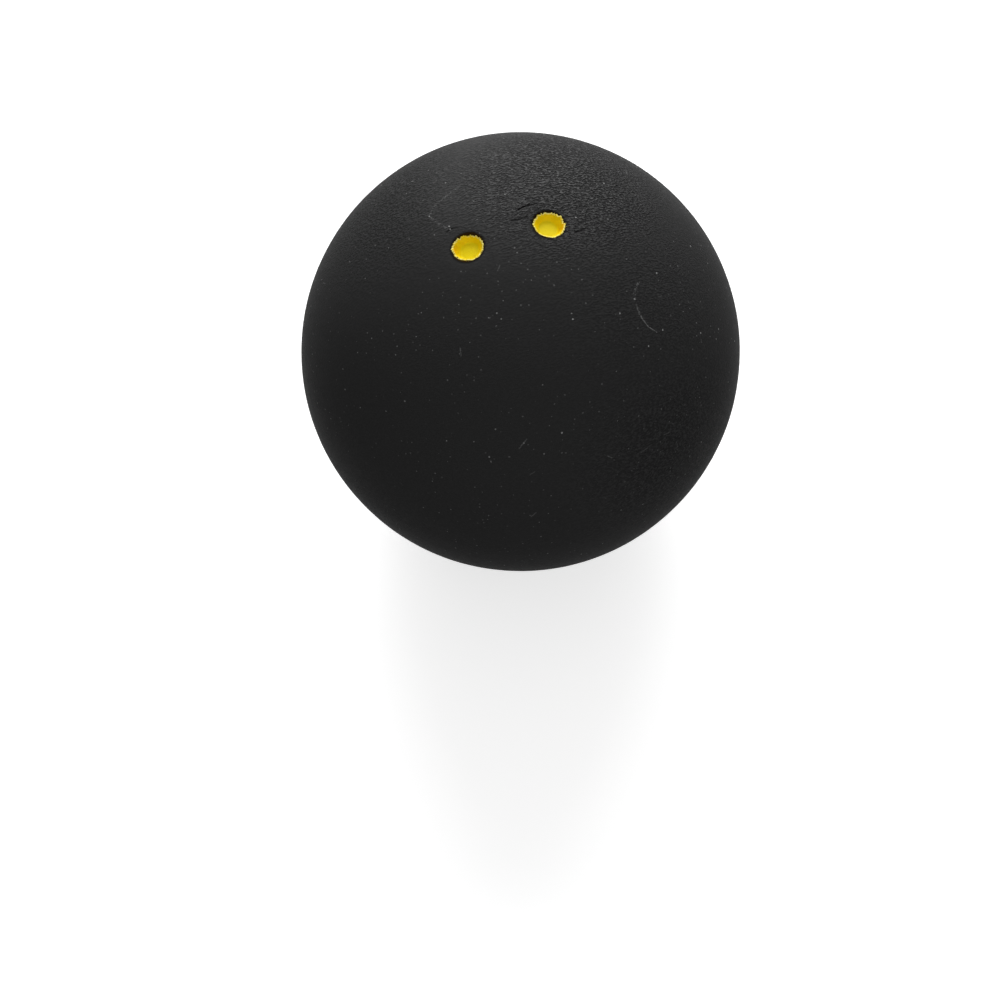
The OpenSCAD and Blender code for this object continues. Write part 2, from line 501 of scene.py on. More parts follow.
def cement_section(sizes):
    """Outline of the cement, closed: the buffed weld, down its broken corner, in along the web to
    the rubber's inner face, up that face to the round bead, and back the same way above."""
    weld_r = sizes.ball_r - sizes.seam_sink
    hollow_r = sizes.ball_r - sizes.wall
    # The bead's circle about the inner face meets that face where the chord equals its radius
    bead_polar = math.pi / 2 - 2 * math.asin(sizes.bead_r / (2 * hollow_r))
    weld = polar(weld_r, math.pi / 2, math.pi - break_polar(sizes, weld_r), WELD_ROWS)
    web = np.array([[sizes.ball_r - sizes.edge_break, -sizes.rim_z]])
    face = polar(hollow_r, math.pi - math.acos(sizes.rim_z / hollow_r), math.pi - bead_polar, FACE_ROWS)
    foot = face[-1] - (hollow_r, 0)
    turn = np.linspace(math.atan2(foot[1], foot[0]) % (2 * math.pi), math.pi, BEAD_ROWS)[1:]
    bead = (hollow_r, 0) + sizes.bead_r * unit(turn)
    lower = np.vstack([weld, web, face, bead])
    upper = lower[-2:0:-1] * (1, -1)
    return np.vstack([lower, upper])


class WellOutline:
    """A well's outline from the middle of its floor to its lip on the ball's surface, by the
    distance along it: floor, corner round, wall and lip round, as in the CAD part."""

    def __init__(self, sizes):
        mouth_z = math.sqrt(sizes.ball_r ** 2 - sizes.mouth_r ** 2)
        floor_z = sizes.ball_r - sizes.well_depth
        foot = np.array([sizes.floor_r, floor_z])
        lean = math.atan2(sizes.mouth_r - sizes.floor_r, mouth_z - floor_z)
        up_wall = np.array([math.sin(lean), math.cos(lean)])
        into_wall = np.array([math.cos(lean), -math.sin(lean)])
        corner = foot + sizes.corner_r * np.array([(math.sin(lean) - 1) / math.cos(lean), 1])
        # The lip's centre stands off the wall by its radius, and under the surface by a little less
        lip_reach = sizes.ball_r - LIP_BURY_SHARE * sizes.lip_r
        lip_foot = foot + sizes.lip_r * into_wall
        along = lip_foot @ up_wall
        lip = lip_foot + up_wall * (math.sqrt(along ** 2 - lip_foot @ lip_foot + lip_reach ** 2) - along)
        cosine = (sizes.ball_r ** 2 - lip_reach ** 2 - sizes.lip_r ** 2) / (2 * lip_reach * sizes.lip_r)
        lip_end = math.atan2(lip[1], lip[0]) + math.acos(cosine)
        floor_x = np.linspace(0, corner[0], FLOOR_STEPS + 1)[:-1]
        floor = np.column_stack([floor_x, np.full(FLOOR_STEPS, floor_z)])
        outward = unit(np.linspace(-math.pi / 2, -lean, ROUND_STEPS))
        lip_outward = unit(np.linspace(math.pi - lean, lip_end, ROUND_STEPS))
        points = np.vstack([floor, corner + sizes.corner_r * outward, lip + sizes.lip_r * lip_outward])
        facing = np.vstack([np.tile([0.0, 1.0], (FLOOR_STEPS, 1)), -outward, lip_outward])
        steps = np.linalg.norm(np.diff(points, axis=0), axis=1)
        self.along = np.concatenate([[0], np.cumsum(steps)])
        self.table = np.hstack([points, facing])
        self.length = self.along[-1]
        self.lip_angle = math.atan2(points[-1, 0], points[-1, 1])

    def at(self, along):
        """(radius, height) and the direction in which the surface faces, at distances along."""
        columns = [np.interp(along, self.along, column) for column in self.table.T]
        return np.stack(columns[:2], axis=-1), np.stack(columns[2:], axis=-1)


def dot_axes(sizes, side):
    """Rows x, y and z of a dot's own frame, turned about Y until z runs out through the dot."""
    lean = side * math.asin(sizes.dot_gap / 2 / sizes.ball_r)
    return np.array([
        [math.cos(lean), 0, -math.sin(lean)],
        [0, 1, 0],
        [math.sin(lean), 0, math.cos(lean)],
    ])


def stand(section, turning, axis):
    """Carries rows of (radius, height) round a dot's axis: radius * turning + height * axis."""
    return section[..., :1] * turning + section[..., 1:] * axis


def dot_patch(sizes, side):
    """One dot's share of the ball's cap: the well, then rings on the ball that grow from the lip's
    circle to the share's own edge, which is half of the cap's circle and the arc midway between
    the dots."""
    outline = WellOutline(sizes)
    axis = dot_axes(sizes, side)[2]
    turn = np.linspace(-np.pi / 2, np.pi / 2, CAP_STEPS + 1)[:-1]
    lean = np.linspace(CAP_ANGLE, -CAP_ANGLE, MIDDLE_STEPS + 1)[:-1]
    half_circle = np.column_stack([
        math.sin(CAP_ANGLE) * unit(turn), np.full(CAP_STEPS, math.cos(CAP_ANGLE)),
    ])
    between = np.column_stack([np.zeros(MIDDLE_STEPS), np.sin(lean), np.cos(lean)])
    edge = np.vstack([half_circle, between]) * (side, side, 1)
    edge_angle = np.arccos(edge @ axis)
    turning = edge - np.outer(edge @ axis, axis)
    turning /= np.linalg.norm(turning, axis=1)[:, None]
    section, _ = outline.at(crowded(WELL_ROWS, WELL_CROWDING) * outline.length)
    well = stand(section[:, None, :], turning[None], axis)
    # Rings near the lip keep one radius, and the outer ones stretch to the edge
    near_angle = NEAR_REACH / sizes.ball_r
    even = np.linspace(outline.lip_angle, near_angle, NEAR_RINGS + 1)[1:, None] + np.zeros(len(edge))
    stretch = np.linspace(0, 1, FAR_RINGS + 1)[1:, None] ** FAR_CROWDING
    stretched = near_angle + stretch * (edge_angle - near_angle)
    from_axis = np.vstack([even, stretched])[..., None]
    skin = sizes.ball_r * (np.cos(from_axis) * axis + np.sin(from_axis) * turning)
    points = np.concatenate([well, skin])
    return points.reshape(-1, 3), grid_faces(len(points), len(edge))


def paint_lining(sizes, wear, side):
    """Paint in one well: its open face from the middle of the floor to its edge and its back the
    other way. Its thickness t follows t0 * sqrt(1 - x^2) over the last stretch, so that it ends in
    a round edge, whose distance from the lip wanders with the bearing. t0 varies in lumps."""
    outline = WellOutline(sizes)
    across, up, axis = dot_axes(sizes, side)
    bearing = np.arange(PAINT_COLUMNS) * (2 * np.pi / PAINT_COLUMNS)
    turning = np.outer(np.cos(bearing), across) + np.outer(np.sin(bearing), up)
    gap = wear.paint_gap - side * wear.paint_tilt * np.cos(bearing)
    gap += wear.paint_jag * wander(bearing, side, *PAINT_JAG_LOBES)
    gap += FRAY_SHARE * wear.paint_jag * wander(bearing, side, *PAINT_FRAY_LOBES)
    for pixel, depth in NOTCHES_PX[side]:
        gap += depth * wear.paint_notch * fade(turn_from(bearing, pixel, sizes, side), NOTCH_WIDTH)
    edge = outline.length - np.maximum(gap, LEAST_PAINT_GAP)
    open_rows = crowded(PAINT_ROWS, PAINT_CROWDING)
    back_rows = open_rows[-2::-PAINT_BACK_STRIDE]
    along = np.concatenate([open_rows, back_rows])[:, None] * edge
    section, facing = outline.at(along)
    x = np.clip((along - edge + PAINT_ROUND) / PAINT_ROUND, 0, 1)
    lumps = 0.5 + 0.5 * wander(bearing, side, *PAINT_LUMP_LOBES)
    lacking = LUMP_SHARE * lumps * smooth(along, LUMP_START, LUMP_FULL)
    thickness = sizes.paint * (1 - lacking) * np.sqrt(1 - x ** 2)
    thickness[len(open_rows):] = 0
    section = section + facing * thickness[..., None]
    points = stand(section, turning, axis)
    thin = np.where(np.arange(len(along))[:, None] < len(open_rows), x, 1)
    attributes = [("thinness", thin.ravel()), ("steepness", 1 - facing[..., 1].ravel())]
    return points.reshape(-1, 3), grid_faces(len(along), PAINT_COLUMNS), attributes


# Wear

def dot_place(points, axes):
    """Distance of points from a dot's axis, their bearing about it and the way out from it."""
    local = points @ axes.T
    distance = np.maximum(np.hypot(local[:, 0], local[:, 1]), TINY)
    outwards = local[:, :1] * axes[0] + local[:, 1:2] * axes[1]
    return distance, np.arctan2(local[:, 1], local[:, 0]), outwards / distance[:, None]


def turn_from(bearing, pixel, sizes, side):
    """Turn about a dot's axis from the place at a pixel to a bearing, within half a turn."""
    home = dot_place(np.array([spot(pixel)]), dot_axes(sizes, side))[1][0]
    return np.angle(np.exp(1j * (bearing - home)))


def on_arc(points, arc, width):
    """1 on an arc and exp(-(d / width)^2) off it, with d the distance from its circle. It dies away
    towards the arc's ends."""
    centre, radius, axis, towards, half = arc
    offset = points - centre
    height = offset @ axis
    reach = np.sqrt(np.maximum((offset ** 2).sum(1) - height ** 2, TINY ** 2))
    from_middle = np.arccos(np.clip(offset @ towards / reach, -1, 1))
    off_line = np.hypot(height, reach - radius)
    return fade(off_line, width) * (1 - smooth(from_middle / half, *ARC_END_SHARES))


def surface_sink(skin, sizes, wear):
    """How far the ball's surface lies under its moulded place: slow and short waves, fine wrinkles
    on the cap round the dots, a dimple round each dot, the creases beside them, and the ridge's
    height everywhere but on the ridge."""
    sink = wear.swell * ripples(skin, *SWELL_WAVES)
    sink += wear.ripple * ripples(skin, *RIPPLE_WAVES)
    outer, inner = (math.cos(share * CAP_ANGLE) for share in WRINKLE_FADE_SHARES)
    on_cap = smooth(skin[:, 2] / sizes.ball_r, outer, inner)
    sink += wear.wrinkle * on_cap * ripples(skin * WRINKLE_SQUEEZE, *WRINKLE_WAVES)
    for side in SIDES:
        distance, _, _ = dot_place(skin, dot_axes(sizes, side))
        sink += wear.dimple * fade(np.maximum(distance - sizes.mouth_r, 0), DIMPLE_REACH)
    for pixels in DEEP_CREASES_PX + FAINT_CREASES_PX:
        sink += wear.crease * on_arc(skin, arc_through(pixels), wear.crease_width)
    sink += wear.ridge * (1 - on_arc(skin, arc_through(LEFT_RIDGE_PX), RIDGE_WIDENING * wear.crease_width))
    return sink


def worn(points, sizes, wear):
    """Carries points from their moulded place to their worn one. The surface sinks, and each mouth
    moves unevenly out or in and bulges in at one place. All that dies away with the depth under the
    surface, as exp(-(depth / reach)^2), and the mouths' moves with the distance from the lip too."""
    reach = np.maximum(np.linalg.norm(points, axis=1), TINY)
    outward = points / reach[:, None]
    hold = fade(np.maximum(sizes.ball_r - reach, 0), WEAR_DEPTH)
    moved = points - outward * (hold * surface_sink(outward * sizes.ball_r, sizes, wear))[:, None]
    for side in SIDES:
        distance, bearing, outwards = dot_place(points, dot_axes(sizes, side))
        at_lip = fade(distance - sizes.mouth_r, LIP_REACH)
        uneven = wear.lip_wander * wander(bearing, side, *LIP_LOBES)
        uneven -= wear.lip_bulge * fade(turn_from(bearing, BULGES_PX[side], sizes, side), BULGE_WIDTH)
        moved += outwards * (uneven * at_lip * hold)[:, None]
    return moved


# Pieces

def add_object(name, data):
    """A new object, in the scene."""
    made = bpy.data.objects.new(name, data)
    bpy.context.scene.collection.objects.link(made)
    return made


def add_piece(node, material, parts, attributes=()):
    """Joins parts, each its points and quads, into one closed mesh, wears it, and sets it in the
    frame in place of its CAD node. attributes are (name, values) pairs, one value to a point."""
    scene = bpy.context.scene
    starts = np.cumsum([0] + [len(points) for points, _ in parts])
    points = np.vstack([points for points, _ in parts])
    faces = np.vstack([faces + start for (_, faces), start in zip(parts, starts)])
    mesh = bpy.data.meshes.new(f"{node}_looks")
    mesh.vertices.add(len(points))
    mesh.vertices.foreach_set("co", points.astype(np.float32).ravel())
    mesh.loops.add(faces.size)
    mesh.loops.foreach_set("vertex_index", faces.astype(np.int32).ravel())
    mesh.polygons.add(len(faces))
    mesh.polygons.foreach_set("loop_start", np.arange(0, faces.size, 4, dtype=np.int32))
    mesh.update(calc_edges=True)
    for name, values in attributes:
        mesh.attributes.new(name, "FLOAT", "POINT").data.foreach_set("value", values.astype(np.float32))
    welded = bmesh.new()
    welded.from_mesh(mesh)
    bmesh.ops.remove_doubles(welded, verts=welded.verts, dist=WELD_DISTANCE)
    welded.to_mesh(mesh)
    welded.free()
    moulded = np.empty(len(mesh.vertices) * 3, np.float32)
    mesh.vertices.foreach_get("co", moulded)
    placed = worn(moulded.reshape(-1, 3).astype(float), scene.ball_sizes, scene.ball_wear)
    mesh.vertices.foreach_set("co", placed.astype(np.float32).ravel())
    mesh.polygons.foreach_set("use_smooth", np.ones(len(mesh.polygons), bool))
    mesh.set_sharp_from_angle(angle=SHARP_ANGLE)
    mesh.update()
    mesh.materials.append(material)
    piece = add_object(f"{node}_looks", mesh)
    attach(piece, "root")
    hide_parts(node)


# Shader building

class Value:
    """What a shader's socket gives at each place. Arithmetic on it adds Math nodes to its tree."""

    def __init__(self, socket):
        self.socket = socket
        self.tree = socket.id_data

    def __add__(self, other):
        return calc("ADD", self, other)

    def __sub__(self, other):
        return calc("SUBTRACT", self, other)

    def __rsub__(self, other):
        return calc("SUBTRACT", other, self)

    def __mul__(self, other):
        return calc("MULTIPLY", self, other)

    def __truediv__(self, other):
        return calc("DIVIDE", self, other)

    def __rtruediv__(self, other):
        return calc("DIVIDE", other, self)


def feed(node, inputs):
    """Links or sets inputs of a node, given by name or number. A colour that is set is opaque."""
    for key, value in dict(inputs).items():
        socket = node.inputs[key]
        if isinstance(value, Value):
            value.tree.links.new(value.socket, socket)
        elif socket.type == "RGBA":
            socket.default_value = (*value, 1.0)
        else:
            socket.default_value = value


def add_node(tree, kind, inputs=(), **settings):
    """Adds a node with its settings and inputs."""
    node = tree.nodes.new(kind)
    for name, value in settings.items():
        setattr(node, name, value)
    feed(node, inputs)
    return node


def calc(operation, *values):
    """Output of a Math node on values and numbers."""
    tree = next(value.tree for value in values if isinstance(value, Value))
    return Value(add_node(tree, "ShaderNodeMath", enumerate(values), operation=operation).outputs[0])


def most(*values):
    """The greatest of some values and numbers."""
    return reduce(partial(calc, "MAXIMUM"), values)


def vector(operation, *values):
    """Output of a Vector Math node: a number for lengths and dot products, a vector otherwise."""
    node = add_node(values[0].tree, "ShaderNodeVectorMath", enumerate(values), operation=operation)
    return Value(node.outputs["Value" if operation in ("LENGTH", "DOT_PRODUCT", "DISTANCE") else "Vector"])


def scaled(position, scale):
    """A vector times a number or a value."""
    inputs = {"Vector": position, "Scale": scale}
    node = add_node(position.tree, "ShaderNodeVectorMath", inputs, operation="SCALE")
    return Value(node.outputs["Vector"])


def ramp(value, low, high):
    """0 at low and 1 at high, eased at both ends."""
    # The easing holds its result between 0 and 1 by itself, so the node's own clamp stays off
    node = add_node(value.tree, "ShaderNodeMapRange", {
        "Value": value, "From Min": low, "From Max": high,
    }, interpolation_type="SMOOTHSTEP", clamp=False)
    return Value(node.outputs["Result"])


def fall(value, low, high):
    """1 at low and 0 at high, eased at both ends."""
    return 1 - ramp(value, low, high)


def blend(share_of_second, first, second):
    """Mix of two colours. A Mix node's sockets 6 and 7 take its colours, and its output 2 gives one."""
    inputs = {0: share_of_second, 6: first, 7: second}
    return Value(add_node(share_of_second.tree, "ShaderNodeMix", inputs, data_type="RGBA").outputs[2])


def noise(position, spacing, detail=2.0, roughness=0.5, output="Fac"):
    """A noise texture whose lumps are about a spacing apart."""
    return Value(add_node(position.tree, "ShaderNodeTexNoise", {
        "Vector": scaled(position, 1 / spacing), "Scale": 1.0, "Detail": detail, "Roughness": roughness,
    }).outputs[output])


def shaken(position, reach, spacing):
    """A position moved about by up to half a reach, so that marks drawn with it are ragged."""
    shake = vector("SUBTRACT", noise(position, spacing, detail=1.0, output="Color"), (0.5, 0.5, 0.5))
    return vector("ADD", position, scaled(shake, reach))


def raised(height, distance):
    """Normal of a surface that is raised by up to a distance, by a height of 0 to 1."""
    bump = add_node(height.tree, "ShaderNodeBump", {"Height": height, "Distance": distance, "Strength": 1.0})
    return Value(bump.outputs["Normal"])


def near(position, mark, inner, outer, depth=0):
    """1 within an inner distance of a mark and 0 from an outer one on, eased between them."""
    return fall(vector("DISTANCE", position, spot(mark, depth)), inner, outer)


def nearness(position, places, reach):
    """How near a position is to some places, each a mark and its share: the most of their shares,
    each of which falls to 0 at the reach."""
    return most(*(near(position, mark, 0, reach) * share for mark, share in places))


def strokes(position, paths, width, depth=0):
    """Mask of all the strokes that join the marks of each path, at a depth under the ball's moulded
    surface. It is full to 0.15 of the width and gone at 0.65. A path of one mark is a speck."""
    nearest = 1.0
    for path in paths:
        places = [spot(mark, depth) for mark in path]
        if len(places) == 1:
            nearest = calc("MINIMUM", vector("DISTANCE", position, places[0]), nearest)
        for start, end in zip(places, places[1:]):
            away = use_group(stroke, Position=position, Start=start, End=end)["Distance"]
            nearest = calc("MINIMUM", away, nearest)
    return fall(nearest, 0.15 * width, 0.65 * width)


def marks(position, kinds, depth=0):
    """Mask of some kinds of marks, each given by its paths, its width and how strong it is."""
    return most(*(strokes(position, paths, width, depth) * strength for paths, width, strength in kinds))


def start_group(name, **kinds):
    """Starts a node group, and returns what comes in by its inputs, given by name and kind."""
    group = bpy.data.node_groups.new(name, "ShaderNodeTree")
    for label, kind in kinds.items():
        group.interface.new_socket(label, in_out="INPUT", socket_type=f"NodeSocket{kind}")
    into = group.nodes.new("NodeGroupInput").outputs
    return [Value(into[label]) for label in kinds]


def end_group(**values):
    """Gives a node group its outputs, by their names, and returns it."""
    group = next(iter(values.values())).tree
    for label, value in values.items():
        group.interface.new_socket(label, in_out="OUTPUT", socket_type=value.socket.bl_idname)
    feed(group.nodes.new("NodeGroupOutput"), values)
    return group


def use_group(build, **inputs):
    """Outputs of a node group by their names. It is built the first time that it is used."""
    group = bpy.data.node_groups.get(build.__name__) or build()
    node = add_node(inputs["Position"].tree, "ShaderNodeGroup", inputs, node_tree=group)
    return {output.name: Value(output) for output in node.outputs}


def leather_grain():
    """Height of the moulded grain, 0 to 1: 0.3 of plateaus, with creases between them where a noise
    crosses its middle, and 0.7 of a finer noise. Both are drawn out along X."""
    position, spacing = start_group("leather_grain", Position="Vector", Spacing="Float")
    drawn_out = vector("MULTIPLY", position, (0.5, 1.0, 1.0))
    plateaus = ramp(calc("ABSOLUTE", noise(drawn_out, spacing, detail=1.5) - 0.5), 0.0, 0.08)
    fine = ramp(noise(drawn_out, spacing * 0.7, detail=0.5), 0.3, 0.7)
    return end_group(Height=plateaus * 0.3 + fine * 0.7)


def dust():
    """Mask of small specks, one in a random place of some of the cells of the given spacing. Most
    are faint, because their strength is 0.06 and 0.35 times the square of a random number."""
    position, spacing, radius, share = start_group(
        "dust", Position="Vector", Spacing="Float", Radius="Float", Share="Float"
    )
    inputs = {"Vector": scaled(position, 1 / spacing), "Scale": 1.0}
    cells = add_node(position.tree, "ShaderNodeTexVoronoi", inputs).outputs
    draws = add_node(position.tree, "ShaderNodeSeparateColor", {0: Value(cells["Color"])}).outputs
    choice, size, strength = (Value(draw) for draw in draws)
    away = Value(cells["Distance"]) * spacing / (radius * (size + 0.5))
    kept = calc("LESS_THAN", choice, share)
    return end_group(Mask=fall(away, 0.4, 1.0) * kept * (calc("POWER", strength, 2.0) * 0.35 + 0.06))


def stroke():
    """Distance from a straight stroke from Start to End. A place p lies off it by the length of
    p - s - t (e - s), with t = (p - s).(e - s) / |e - s|^2 held between 0 and 1."""
    position, start, end = start_group("stroke", Position="Vector", Start="Vector", End="Vector")
    way = vector("SUBTRACT", end, start)
    come = vector("SUBTRACT", position, start)
    along = vector("DOT_PRODUCT", come, way) / vector("DOT_PRODUCT", way, way)
    # Two nodes hold the share, because a clamp on each of many strokes fills the renderer's stack
    held = calc("MINIMUM", most(along, 0.0), 1.0)
    return end_group(Distance=vector("DISTANCE", come, scaled(way, held)))


def rubber_skin():
    """The rubber's surface: its colour, with painted shade in the hollows of the grain, chalk and a
    painted highlight on its ridges, a broad painted highlight near the top, and dust, and the height of its
    grain, which is deeper in some places."""
    finish = bpy.context.scene.ball_finish
    position, base, chalk, spacing = start_group(
        "rubber_skin", Position="Vector", Colour="Color", Chalk="Color", Spacing="Float"
    )
    grain = use_group(leather_grain, Position=position, Spacing=spacing)["Height"]
    patches = GRAIN_PATCHES_PX + HIDDEN_GRAIN_PATCHES
    depth = nearness(position, patches, finish.grain_patch) + EVEN_GRAIN_SHARE
    # Painted shade: black in the grain's hollows
    shaded = blend(fall(grain, 0.15, 0.5) * depth * HOLLOW_SHADE_SHARE, base, BLACK)
    # Chalk on the grain's ridges, and also a painted highlight that lightens them
    ridge_chalk_and_highlight = ramp(grain, 0.45, 0.9) * depth
    # Painted highlight: a broad pale patch near the top, where the key light's sheen would fall
    bloom = nearness(position, ((PAINTED_HIGHLIGHT_PX, PAINTED_HIGHLIGHT_SHARE),), finish.bloom)
    rubbed = blend(ridge_chalk_and_highlight * RIDGE_CHALK_AND_HIGHLIGHT_SHARE + bloom, shaded, chalk)
    patchy = ramp(noise(position, 7 * MM, detail=1.0), 0.4, 0.65) * PATCHY_SHARE
    thick = nearness(position, [(mark, DUSTY_SHARE) for mark in DUSTY_PX + HIDDEN_DUSTY], finish.dusty)
    dusted = use_group(
        dust, Position=shaken(position, reach=0.1 * MM, spacing=0.12 * MM),
        Spacing=0.5 * MM, Radius=0.07 * MM, Share=most(patchy, thick) + DUST_SHARE,
    )["Mask"]
    return end_group(Colour=blend(dusted, rubbed, chalk), Height=grain * depth)


# Materials

def start_material(name):
    """A new material, its Principled shader, and the piece's own position."""
    material = bpy.data.materials.new(name)
    material.use_nodes = True
    nodes = material.node_tree.nodes
    return material, nodes["Principled BSDF"], Value(nodes.new("ShaderNodeTexCoord").outputs["Object"])


def rubber_looks(shader, position, base):
    """Gives a shader the rubber's skin over a base colour, and returns the skin's colour."""
    finish = bpy.context.scene.ball_finish
    skin = use_group(rubber_skin, Position=position, Colour=base, Chalk=finish.chalk, Spacing=finish.grain)
    normal = raised(skin["Height"], finish.grain_depth)
    feed(shader, {"Normal": normal, "Roughness": 0.5, "Specular IOR Level": 0.003})
    return skin["Colour"]


def grained_rubber():
    """Matt black rubber, with its skin, painted shade along the creases, a ring of painted shade round each
    mouth and smeared paint in it, chalky scuffs, hairs and specks, and the paint that was splashed past a
    lip."""
    made = bpy.data.materials.get("grained_rubber")
    if made:
        return made
    sizes, finish = bpy.context.scene.ball_sizes, bpy.context.scene.ball_finish
    material, shader, position = start_material("grained_rubber")
    looks = rubber_looks(shader, position, finish.rubber)
    ragged = shaken(position, reach=0.12 * MM, spacing=0.15 * MM)
    # Painted shade: the creases are blackened in the colour
    looks = blend(marks(ragged, CREASE_SHADES, CREASED_DEPTH), looks, BLACK)
    for side in SIDES:
        away = vector("DISTANCE", position, dot_axes(sizes, side)[2] * sizes.ball_r)
        # Painted shade: a dark ring just outside each mouth
        ring = fall(away, sizes.mouth_r, sizes.mouth_r + SHADE_RING_WIDTH)
        looks = blend(ring * SHADE_RING_SHARE, looks, BLACK)
        in_well = fall(away, sizes.mouth_r - SMEAR_BLUR, sizes.mouth_r + SMEAR_BLUR)
        looks = blend(in_well * SMEAR_SHARE, looks, finish.smear)
    broken = ramp(noise(position, 0.22 * MM, detail=1.0), 0.4, 0.6)
    scuffed = marks(shaken(position, reach=0.3 * MM, spacing=0.15 * MM), SCUFFS) * broken
    looks = blend(most(scuffed, marks(ragged, CHALK_MARKS)), looks, finish.chalk)
    # Splashed paint, in the same pale colour that paints the highlight on the paint's edge
    looks = blend(marks(ragged, SPLASHES), looks, finish.paint_edge)
    feed(shader, {"Base Color": looks})
    return material


def buffed_cement():
    """Cured cement, buffed and tumbled with the rubber until the two look alike."""
    material, shader, position = start_material("buffed_cement")
    feed(shader, {"Base Color": rubber_looks(shader, position, bpy.context.scene.ball_finish.cement)})
    return material


def satin_paint():
    """Satin yellow paint that turns in mottles to a deeper orange on the steep wall, a painted tint of the
    light bounced inside the well. It is speckled, stained in one place of each dot, a little greyer on the
    right one's floor, lighter in places along its thin rounded edge as a painted highlight, and pitted down
    to the rubber."""
    finish = bpy.context.scene.ball_finish
    material, shader, position = start_material("satin_paint")
    steep, thin = (
        Value(add_node(position.tree, "ShaderNodeAttribute", attribute_name=name).outputs["Fac"])
        for name in ("steepness", "thinness")
    )
    steep = steep + (noise(position, 0.35 * MM) - 0.5) * MOTTLE_SHARE
    # The steep wall turns to a deeper orange, a painted tint of the light bounced inside the well
    coat = blend(ramp(steep, 0.0, 0.65), finish.paint, finish.wall_paint)
    on_right = ramp(vector("DOT_PRODUCT", position, (1, 0, 0)), 0, 1 * MM)
    coat = blend(on_right * fall(steep, 0.1, 0.8) * GREY_SHARE, coat, BLACK)
    speckle = ramp(noise(position, 0.16 * MM, roughness=0.6), 0.55, 0.75) * SPECKLE_SHARE
    uneven = shaken(position, reach=0.5 * MM, spacing=0.25 * MM)
    stains = [near(uneven, pixel, 0.35 * MM, 0.85 * MM) for pixel in STAINS_PX]
    coat = blend(most(speckle, *stains), coat, finish.stain)
    # Painted highlight: the paint's thin rounded edge turns pale in some places
    edge_highlight_places = ramp(noise(position, 0.5 * MM), 0.25, 0.55)
    coat = blend(ramp(thin, 0.0, 0.5) * edge_highlight_places, coat, finish.paint_edge)
    pits = [near(position, pixel, 0.05 * MM, 0.12 * MM, PIT_DEPTH) for pixel in PAINT_PITS_PX]
    coat = blend(most(*pits), coat, finish.smear)
    normal = raised(noise(position, 0.12 * MM), finish.paint_grain)
    feed(shader, {"Base Color": coat, "Normal": normal, "Roughness": 0.5, "Specular IOR Level": 0.1})
    return material


def seen_by_eye(tree):
    """1 for what the camera sees, also in a mirror or through glass, and 0 for light on the ball."""
    path = tree.nodes.new("ShaderNodeLightPath").outputs
    return most(*(Value(path[f"Is {kind} Ray"]) for kind in ("Camera", "Glossy", "Transmission")))


def pale_floor(stage):
    """The floor looks pale to the camera and in reflections, where part of its brightness is its own
    and all of it far from the ball, and throws back less light on the object."""
    material, shader, position = start_material("pale_floor")
    seen = seen_by_eye(position.tree)
    far = ramp(vector("LENGTH", position), stage.floor_near, stage.floor_far)
    glow = blend(far, [stage.floor_glow] * 3, WHITE)
    feed(shader, {
        "Base Color": blend(seen, stage.floor_bounce, stage.floor),
        "Emission Color": blend(seen, BLACK, glow),
        "Emission Strength": 1.0,
        "Roughness": 1.0,
        "Specular IOR Level": 0.0,
    })
    return material


# Operators

class BALL_OT_upper_half_shell(bpy.types.Operator):
    """Builds the upper half-shell, with the two wells"""

    bl_idname = "squash_ball.upper_half_shell"
    bl_label = "Upper half-shell"

    def execute(self, context):
        sizes = context.scene.ball_sizes
        parts = [dot_patch(sizes, side) for side in SIDES] + [revolve(shell_section(sizes, CAP_ANGLE))]
        add_piece("upper_half_shell", grained_rubber(), parts)
        return {"FINISHED"}


class BALL_OT_lower_half_shell(bpy.types.Operator):
    """Builds the plain lower half-shell"""

    bl_idname = "squash_ball.lower_half_shell"
    bl_label = "Lower half-shell"

    def execute(self, context):
        points, faces = revolve(shell_section(context.scene.ball_sizes, 0))
        # A half turn about X puts the shell below the seam and keeps its faces pointing out
        parts = [(points * (1, -1, -1), faces)]
        add_piece("lower_half_shell", grained_rubber(), parts)
        return {"FINISHED"}


class BALL_OT_seam_cement(bpy.types.Operator):
    """Builds the ring of cement between the half-shells"""

    bl_idname = "squash_ball.seam_cement"
    bl_label = "Seam cement"

    def execute(self, context):
        parts = [revolve(cement_section(context.scene.ball_sizes), closed_rows=True)]
        add_piece("seam_cement", buffed_cement(), parts)
        return {"FINISHED"}


class BALL_OT_dot_paint(bpy.types.Operator):
    """Builds the paint that lines the two wells"""

    bl_idname = "squash_ball.dot_paint"
    bl_label = "Dot paint"

    def execute(self, context):
        scene = context.scene
        material = satin_paint()
        for side, node in zip(SIDES, ("left_dot_paint", "right_dot_paint")):
            points, faces, attributes = paint_lining(scene.ball_sizes, scene.ball_wear, side)
            add_piece(node, material, [(points, faces)], attributes)
        return {"FINISHED"}


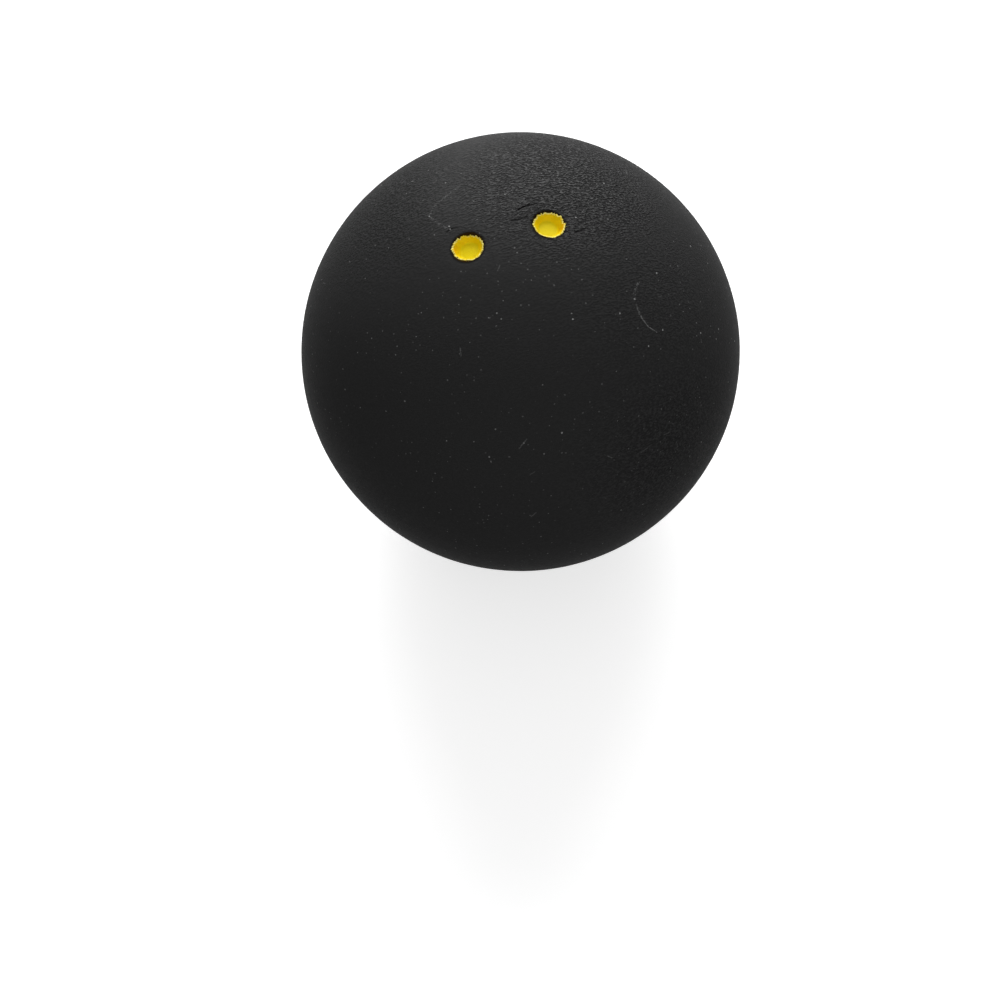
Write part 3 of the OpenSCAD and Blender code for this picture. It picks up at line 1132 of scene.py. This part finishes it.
class BALL_OT_stage(bpy.types.Operator):
    """Sets the floor, the lights and the camera"""

    bl_idname = "squash_ball.stage"
    bl_label = "Stage"

    def execute(self, context):
        scene = context.scene
        stage = scene.ball_stage
        half = stage.floor_half
        floor_z = -scene.ball_sizes.ball_r
        mesh = bpy.data.meshes.new("floor")
        corners = [(-half, -half), (half, -half), (half, half), (-half, half)]
        mesh.from_pydata([(x, y, floor_z) for x, y in corners], [], [(0, 1, 2, 3)])
        mesh.materials.append(pale_floor(stage))
        floor = add_object("floor", mesh)

        camera = add_object("camera", bpy.data.cameras.new("camera"))
        camera.data.lens = stage.lens
        camera.matrix_world = camera_place(stage)
        scene.camera = camera

        # Each light is turned from the line of sight to the picture's right, and then rises
        right, up, back = camera.matrix_world.to_3x3().col
        for name, power, turn, rise in (
            ("key_light", stage.key_power, 0, stage.key_rise),
            ("fill_light", stage.fill_power, stage.fill_turn, stage.fill_rise),
        ):
            level = back * math.cos(turn) + right * math.sin(turn)
            towards = level * math.cos(rise) + up * math.sin(rise)
            light = add_object(name, bpy.data.lights.new(name, "AREA"))
            light.data.energy = power
            light.data.size = stage.light_side
            light.location = towards * stage.light_distance
            light.rotation_mode = "QUATERNION"
            light.rotation_quaternion = (-towards).to_track_quat("-Z", "Y")

        world = bpy.data.worlds.new("room")
        world.use_nodes = True
        strength = most(seen_by_eye(world.node_tree), stage.world_strength)
        feed(world.node_tree.nodes["Background"], {"Color": WHITE, "Strength": strength})
        scene.world = world
        scene.view_settings.view_transform = "Standard"
        return {"FINISHED"}


BUILD_ORDER = (
    BALL_OT_upper_half_shell,
    BALL_OT_lower_half_shell,
    BALL_OT_seam_cement,
    BALL_OT_dot_paint,
    BALL_OT_stage,
)
SETTINGS = (
    ("ball_sizes", BallSizes),
    ("ball_wear", BallWear),
    ("ball_finish", BallFinish),
    ("ball_stage", BallStage),
)


class BALL_PT_sidebar(bpy.types.Panel):
    """Lists the ball's settings and the steps that build it"""

    bl_label = "Squash ball"
    bl_idname = "BALL_PT_sidebar"
    bl_space_type = "VIEW_3D"
    bl_region_type = "UI"
    bl_category = "Squash ball"

    def draw(self, context):
        for name, group in SETTINGS:
            box = self.layout.box()
            box.label(text=group.__doc__)
            for setting in group.__annotations__:
                box.prop(getattr(context.scene, name), setting)
        for operator in BUILD_ORDER:
            self.layout.operator(operator.bl_idname)


def register():
    for name, group in SETTINGS:
        bpy.utils.register_class(group)
        setattr(bpy.types.Scene, name, bpy.props.PointerProperty(type=group))
    for operator in BUILD_ORDER:
        bpy.utils.register_class(operator)
    bpy.utils.register_class(BALL_PT_sidebar)


def unregister():
    bpy.utils.unregister_class(BALL_PT_sidebar)
    for operator in reversed(BUILD_ORDER):
        bpy.utils.unregister_class(operator)
    for name, group in reversed(SETTINGS):
        delattr(bpy.types.Scene, name)
        bpy.utils.unregister_class(group)


def main():
    """Registers the add-on's classes and builds every piece and the stage."""
    register()
    for operator in BUILD_ORDER:
        step = operator.bl_idname.split(".")[1]
        getattr(bpy.ops.squash_ball, step)()


if __name__ == "__main__":
    main()
